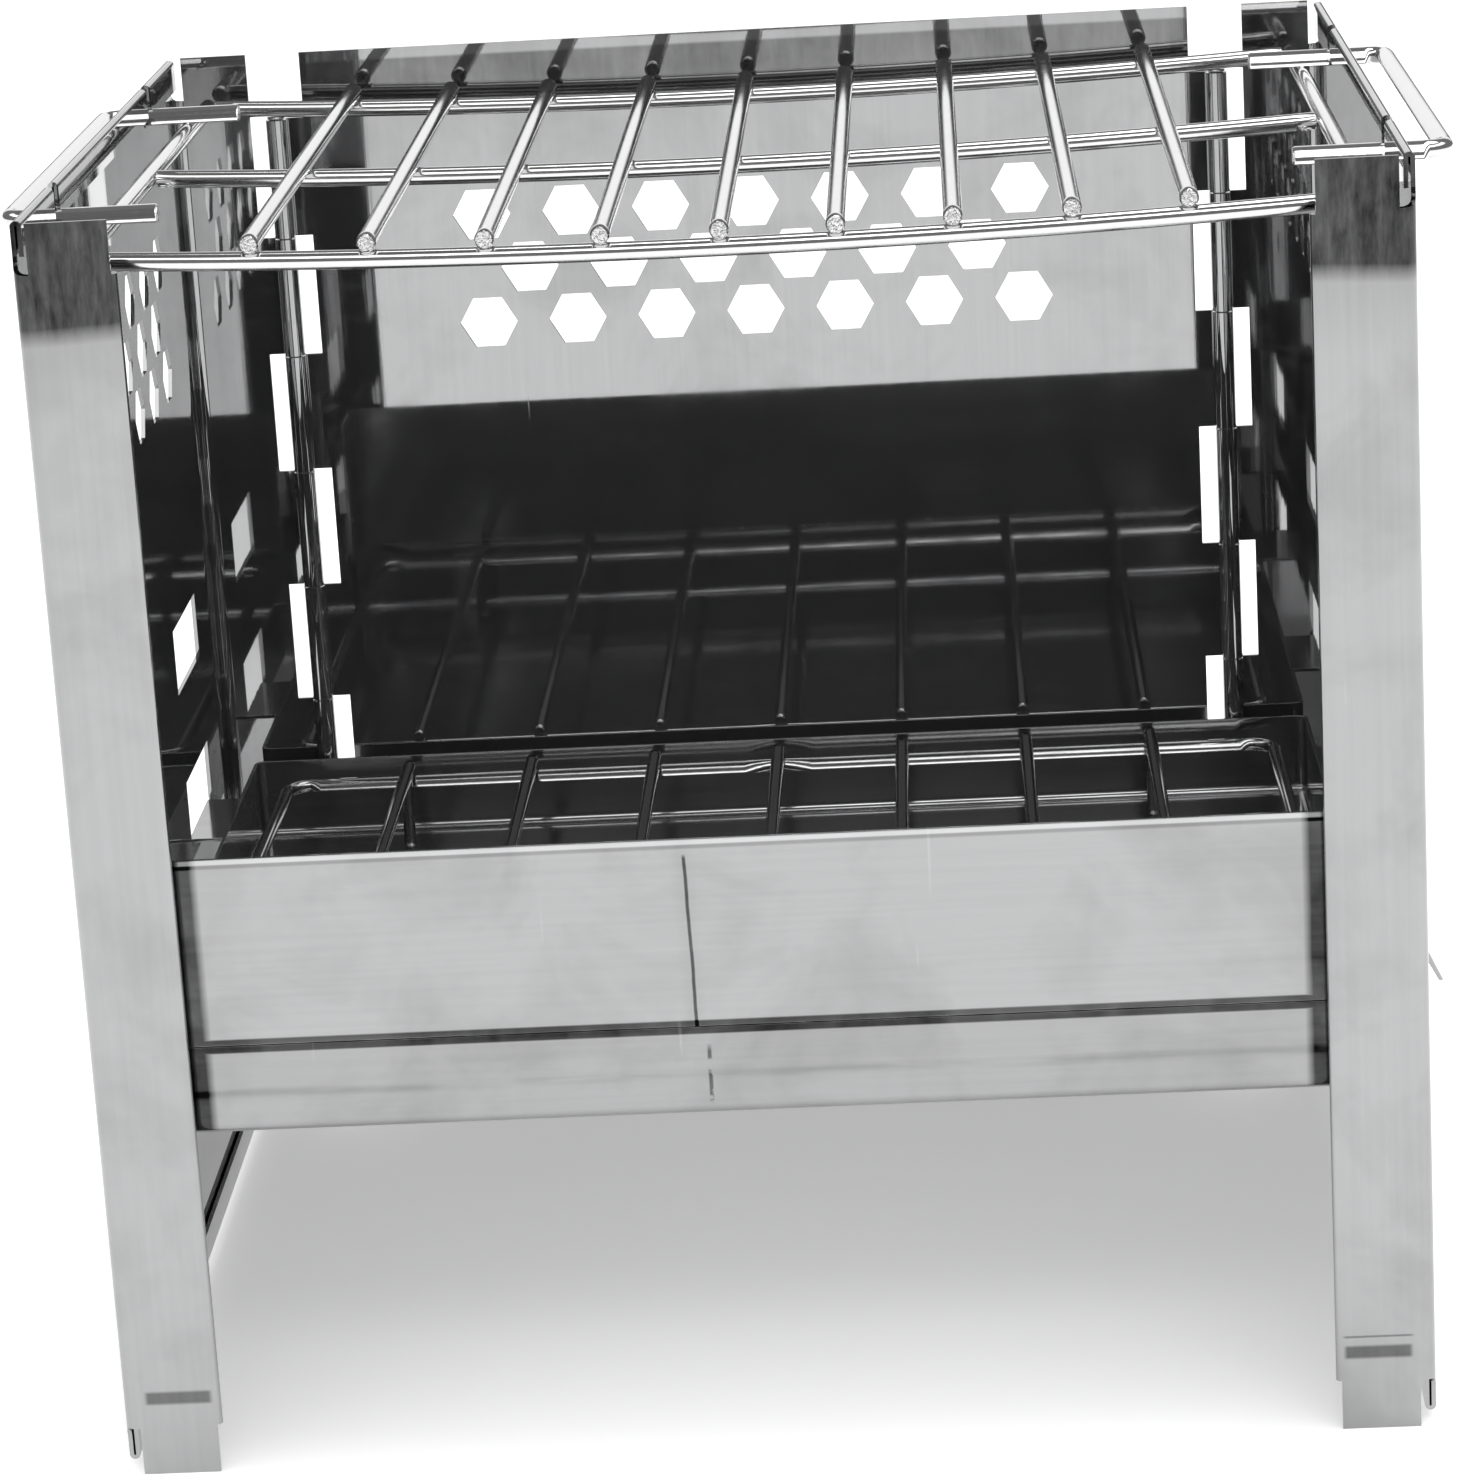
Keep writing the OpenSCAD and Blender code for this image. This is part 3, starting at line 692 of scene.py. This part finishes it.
def wireTree():
    # path edges in, round wire out, with heat spread from the weld points
    tree = bpy.data.node_groups.new("drawnWire", "GeometryNodeTree")
    face = tree.interface
    face.new_socket("Geometry", in_out="INPUT", socket_type="NodeSocketGeometry")
    for label, kind in (("Wire size", "NodeSocketFloat"), ("Bend radius", "NodeSocketFloat"),
                        ("Bend steps", "NodeSocketInt"), ("Sides", "NodeSocketInt"),
                        ("Heat reach", "NodeSocketFloat"), ("Welds", "NodeSocketObject"),
                        ("Bead size", "NodeSocketFloat"), ("Seed", "NodeSocketInt"),
                        ("Finish", "NodeSocketMaterial")):
        face.new_socket(label, in_out="INPUT", socket_type=kind)
    face.new_socket("Geometry", in_out="OUTPUT", socket_type="NodeSocketGeometry")
    weave = Weave(tree)
    source = tree.nodes.new("NodeGroupInput")
    given = {socket.name: Tie(tree, socket) for socket in source.outputs if socket.name}
    path = weave.add("GeometryNodeMeshToCurve", {}, {"Mesh": given["Geometry"]})
    bent = weave.add("GeometryNodeFilletCurve", {"mode": "POLY"}, {
        "Curve": path, "Count": given["Bend steps"], "Radius": given["Bend radius"], "Limit Radius": True})
    curved = given["Bend radius"].over(0.00001)
    chosen = weave.add("GeometryNodeSwitch", {"input_type": "GEOMETRY"},
                       {"Switch": curved, "False": path, "True": bent})
    thin = weave.add("GeometryNodeInputNamedAttribute", {"data_type": "FLOAT"}, {"Name": "thick"})
    ring = weave.add("GeometryNodeCurvePrimitiveCircle", {}, {
        "Resolution": given["Sides"], "Radius": given["Wire size"] * 0.5})
    tube = weave.add("GeometryNodeCurveToMesh", {}, {
        "Curve": chosen, "Profile Curve": ring, "Scale": thin, "Fill Caps": True})
    smooth = weave.add("GeometryNodeSetShadeSmooth", {}, {"Geometry": tube})
    welds = weave.add("GeometryNodeObjectInfo", {}, {"Object": given["Welds"]}, out=4)
    near = weave.add("GeometryNodeProximity", {"target_element": "POINTS"}, {"Geometry": welds}, out=1)
    heat = (1 - near / given["Heat reach"]).clipped()
    heated = weave.add("GeometryNodeStoreNamedAttribute", {"data_type": "FLOAT", "domain": "POINT"},
                       {"Geometry": smooth, "Name": "heat", "Value": heat * heat})
    bead = weave.add("GeometryNodeMeshIcoSphere", {}, {
        "Radius": given["Bead size"], "Subdivisions": beadLook["rounds"]})
    points = weave.add("GeometryNodeMeshToPoints", {}, {"Mesh": welds})
    spin = weave.add("FunctionNodeRandomValue", {"data_type": "FLOAT_VECTOR"}, {
        0: beadLook["turnLow"], 1: beadLook["turnHigh"], "Seed": given["Seed"]})
    squash = weave.add("FunctionNodeRandomValue", {"data_type": "FLOAT_VECTOR"}, {
        0: beadLook["sizeLow"], 1: beadLook["sizeHigh"], "Seed": given["Seed"] + 7})
    turn = weave.add("FunctionNodeEulerToRotation", {}, {"Euler": spin})
    beads = weave.add("GeometryNodeInstanceOnPoints", {}, {
        "Points": points, "Instance": bead, "Rotation": turn, "Scale": squash})
    loose = weave.add("GeometryNodeRealizeInstances", {}, {"Geometry": beads})
    lump = weave.add("ShaderNodeTexNoise", {}, {"Scale": beadLook["lumpScale"], "Detail": 2.0}) - 0.5
    normal = weave.add("GeometryNodeInputNormal")
    push = weave.add("ShaderNodeVectorMath", {"operation": "SCALE"}, {
        "Vector": normal, "Scale": lump * beadLook["lumpDepth"]})
    lumpy = weave.add("GeometryNodeSetPosition", {}, {"Geometry": loose, "Offset": push})
    rounded = weave.add("GeometryNodeSetShadeSmooth", {}, {"Geometry": lumpy})
    hot = weave.add("GeometryNodeStoreNamedAttribute", {"data_type": "FLOAT", "domain": "POINT"},
                    {"Geometry": rounded, "Name": "heat", "Value": 1.0})
    both = tree.nodes.new("GeometryNodeJoinGeometry")
    tree.links.new(heated.socket, both.inputs[0])
    tree.links.new(hot.socket, both.inputs[0])
    realised = weave.add("GeometryNodeRealizeInstances", {}, {"Geometry": Tie(tree, both.outputs[0])})
    painted = weave.add("GeometryNodeSetMaterial", {}, {"Geometry": realised, "Material": given["Finish"]})
    end = tree.nodes.new("NodeGroupOutput")
    tree.links.new(painted.socket, end.inputs[0])
    return tree


drawnWire = wireTree()


def socketName(tree, label):
    for item in tree.interface.items_tree:
        if item.name == label and item.in_out == "INPUT":
            return item.identifier
    raise KeyError(label)


def pathMesh(name, paths):
    # each path is a list of (point, thickness, cut) and becomes a run of edges
    corners, edges, thick, cut = [], [], [], []
    for path in paths:
        start = len(corners)
        corners += [p for p, t, c in path]
        thick += [t for p, t, c in path]
        cut += [c for p, t, c in path]
        edges += [(start + i, start + i + 1) for i in range(len(path) - 1)]
    mesh = bpy.data.meshes.new(name)
    mesh.from_pydata(corners, edges, [])
    for label, values in (("thick", thick), ("cutEnd", cut)):
        layer = mesh.attributes.new(label, "FLOAT", "POINT")
        layer.data.foreach_set("value", values)
    return mesh


def pointsObject(name, points):
    mesh = bpy.data.meshes.new(name)
    mesh.from_pydata(points, [], [])
    thing = bpy.data.objects.new(name, mesh)
    bpy.context.scene.collection.objects.link(thing)
    return thing


def sweptMesh(name, paths, welds, look, finish):
    # runs the tree once and keeps the plain mesh it gives
    holder = bpy.data.objects.new(name + "Path", pathMesh(name + "Path", paths))
    bpy.context.scene.collection.objects.link(holder)
    spots = pointsObject(name + "Welds", welds)
    sweep = holder.modifiers.new("wire", "NODES")
    sweep.node_group = drawnWire
    for label, value in (("Wire size", look["wire"]), ("Bend radius", look["bend"]),
                         ("Bend steps", look["bendSteps"]), ("Sides", look["sides"]),
                         ("Heat reach", look["heatReach"]), ("Welds", spots),
                         ("Bead size", look["bead"]), ("Seed", look["seed"]), ("Finish", finish)):
        sweep[socketName(drawnWire, label)] = value
    reach = bpy.context.evaluated_depsgraph_get()
    mesh = bpy.data.meshes.new_from_object(holder.evaluated_get(reach))
    holder.modifiers.remove(sweep)
    bpy.data.objects.remove(holder)
    bpy.data.objects.remove(spots)
    return mesh


def joinedMesh(name, meshes, finish):
    shape = bmesh.new()
    for mesh in meshes:
        shape.from_mesh(mesh)
    for face in shape.faces:
        face.material_index = 0
    whole = bpy.data.meshes.new(name)
    shape.to_mesh(whole)
    shape.free()
    whole.materials.append(finish)
    return whole


cutEnd = {
    "chamfer": 0.0004,      # length of the pinch at a cut end
    "pinch": 0.80,          # thickness there, as a part of the wire's own
    "uneven": 0.05,
    "handle": 0.84,         # the same for the handles' ends
}


def rod(start, end, steps, rng, sag=None):
    # straight or bowed rod whose cut ends are pinched a little
    a, b = Vector(start), Vector(end)
    length = (b - a).length
    along = (b - a) / length
    chamfer = cutEnd["chamfer"]
    places = [0.0, chamfer] + [chamfer + (length - 2 * chamfer) * i / steps for i in range(1, steps)]
    places += [length - chamfer, length]
    path = []
    for place in places:
        point = a + along * place
        if sag:
            point.z += sag(point)
        edge = min(place, length - place)
        atCut = edge < 1e-9
        thick = cutEnd["pinch"] + cutEnd["uneven"] * rng.random() if atCut else 1.0
        path.append((tuple(point), thick, 1.0 if atCut else 0.0))
    return path


netLook = {
    "wire": 0.0034, "bend": 0.003, "bendSteps": 10, "sides": 20,
    "heatReach": 0.0075, "bead": 0.0011, "seed": 11,
    "jitter": 0.0005,       # how unevenly the cross rods were laid
    "short": 0.0003,        # bowed and cross rods stop this far inside their CAD rods' ends
    "bowSteps": 60,
    "rodSteps": 80,
    "beadLift": 0.0001,     # beads sit this far above the cross rods' undersides
    "cornerRoom": 0.004,    # the handles' legs leave this length to the bend
    "legSteps": 8,
    "gripSteps": 20,
}

bowedRods = ("net_front_rod", "net_middle_rod", "net_rear_rod")
crossRods = [f"net_cross_rod_{number}" for number in range(1, 10)]
hiddenBead = 0.00001        # bead size for a sweep whose welds are drawn elsewhere


def makeNet():
    rng = random.Random(netLook["seed"])
    half = netLook["wire"] / 2
    bowed, welds, straight = [], [], []
    centre, low, high = middleOf("net_front_rod")
    shift = centre.x
    reach = (high.x - low.x) / 2
    sideMiddle = middleOf("net_left_rod")[0]
    top = sideMiddle.z
    # the CAD rod is an arc, so its middle hangs below its ends by the sag
    sagDepth = top - (low.z + half)
    arc = (reach * reach + sagDepth * sagDepth) / (2 * sagDepth)

    def bow(x):
        return arc - sagDepth - math.sqrt(arc * arc - (x - shift) ** 2)

    short = netLook["short"]
    rows = [middleOf(node)[0].y for node in bowedRods]
    for y in rows:
        start, end = (shift - reach + short, y, top), (shift + reach - short, y, top)
        bowed.append(rod(start, end, netLook["bowSteps"], rng,
                         sag=lambda p: bow(min(max(p.x, shift - reach), shift + reach))))
    for node in crossRods:
        centre, low, high = middleOf(node)
        slide = netLook["jitter"] * (rng.random() - 0.5)
        lean = netLook["jitter"] * (rng.random() - 0.5)
        start = (centre.x - lean, low.y + short + slide, centre.z)
        end = (centre.x + lean, high.y - short + slide, centre.z)
        straight.append(rod(start, end, netLook["rodSteps"], rng))
        for y in rows:
            welds.append((centre.x, y, centre.z - half + netLook["beadLift"]))
    for node in ("net_left_rod", "net_right_rod"):
        centre, low, high = middleOf(node)
        start, end = (centre.x, low.y, centre.z), (centre.x, high.y, centre.z)
        straight.append(rod(start, end, netLook["rodSteps"], rng))
        inward = -1 if centre.x > shift else 1
        for y in rows:
            welds.append((centre.x + inward * half, y, centre.z))
    handles = []
    for node, side in (("net_left_handle", -1), ("net_right_handle", 1)):
        centre, low, high = middleOf(node)
        outer = (low.x + half) if side < 0 else (high.x - half)
        inner = high.x if side < 0 else low.x
        y0, y1, z = low.y + half, high.y - half, centre.z
        pinch = cutEnd["chamfer"] * side
        thin = cutEnd["handle"]
        steps, grips = netLook["legSteps"], netLook["gripSteps"]
        path = [((inner, y0, z), thin, 1.0), ((inner + pinch, y0, z), 1.0, 0.0)]
        leg = outer - side * netLook["cornerRoom"] - inner - pinch
        spread = [inner + pinch + leg * i / steps for i in range(1, steps + 1)]
        path += [((x, y0, z), 1.0, 0.0) for x in spread]
        path += [((outer, y0, z), 1.0, 0.0)]
        path += [((outer, y0 + (y1 - y0) * i / grips, z), 1.0, 0.0) for i in range(1, grips)]
        path += [((outer, y1, z), 1.0, 0.0)]
        path += [((x, y1, z), 1.0, 0.0) for x in reversed(spread)]
        path += [((inner + pinch, y1, z), 1.0, 0.0), ((inner, y1, z), thin, 1.0)]
        handles.append(path)
        rodX = middleOf("net_left_rod" if side < 0 else "net_right_rod")[0].x
        for y in (y0, y1):
            welds.append((rodX, y, z - half))
    plain = sweptMesh("netRods", bowed + straight, welds, dict(netLook, bend=0.0), finishes["net"])
    bent = sweptMesh("netHandles", handles, welds[:1], dict(netLook, bead=hiddenBead), finishes["net"])
    whole = joinedMesh("netWires", [plain, bent], finishes["net"])
    stands = [*bowedRods, "net_left_rod", "net_right_rod", "net_left_handle", "net_right_handle"]
    finishedObject("netWires", whole, "net", stands + crossRods)


makeNet()
print("net done")

grateLook = {
    "wire": 0.0028, "bend": 0.005, "bendSteps": 10, "sides": 18,
    "heatReach": 0.006, "bead": 0.0012, "seed": 23,
    "rodSteps": 80,
    "beadLift": 0.0001,     # beads sit this far above the wires' undersides
    "footDrop": 0.004,      # a wire that reaches further below the frame has feet
    "footIn": 0.006,        # how far inside the frame the feet turn down
    "footSteps": 10,
    "footTaper": 0.93,
    "footWeld": 0.0009,     # how far below a wire's middle its feet have their beads
    "gap": 0.0002,          # half the gap at the frame's butt weld
    "ringSteps": 30,
    "cornerRoom": 0.0055,   # no path points nearer to a corner than this
}

grateWires = [f"grate_wire_{number}" for number in range(1, 8)]


def makeGrate():
    rng = random.Random(grateLook["seed"])
    half = grateLook["wire"] / 2
    centre, low, high = middleOf("grate_frame")
    x0, x1 = low.x + half, high.x - half
    y0, y1 = low.y + half, high.y - half
    z = centre.z
    wires, welds = [], []
    lift, inset = grateLook["beadLift"], grateLook["footIn"]
    for node in grateWires:
        middle, lowest, highest = middleOf(node)
        x, top = middle.x, highest.z - half
        wires.append(rod((x, lowest.y, top), (x, highest.y, top), grateLook["rodSteps"], rng))
        welds += [(x, y0, top - half + lift), (x, y1, top - half + lift)]
        if lowest.z < z - grateLook["footDrop"]:
            # the two feet of an outer wire, turned down just inside the frame
            for y in (y0 + inset, y1 - inset):
                foot = rod((x, y, lowest.z), (x, y, top), grateLook["footSteps"], rng)
                wires.append([(p, t * grateLook["footTaper"], c) for p, t, c in foot])
                welds.append((x, y, top - grateLook["footWeld"]))
    # the frame is one ring, closed by a butt weld in the middle of its rear run
    gap, steps = grateLook["gap"], grateLook["ringSteps"]
    ring = [(gap, y1), (x1, y1), (x1, y0), (x0, y0), (x0, y1), (-gap, y1)]
    dense = []
    for (xa, ya), (xb, yb) in zip(ring, ring[1:]):
        for i in range(steps):
            t = i / steps
            near = min(t, 1 - t) * math.hypot(xb - xa, yb - ya)
            if i == 0 or near > grateLook["cornerRoom"]:
                dense.append(((xa + (xb - xa) * t, ya + (yb - ya) * t, z), 1.0, 0.0))
    dense.append(((-gap, y1, z), 1.0, 0.0))
    welds.append((0.0, y1, z))
    plain = sweptMesh("grateRods", wires, welds, dict(grateLook, bend=0.0), finishes["grate"])
    bent = sweptMesh("grateRing", [dense], welds, dict(grateLook, bead=hiddenBead), finishes["grate"])
    whole = joinedMesh("grateWires", [plain, bent], finishes["grate"])
    finishedObject("grateWires", whole, "grate", ["grate_frame"] + grateWires)


makeGrate()
print("grate done")
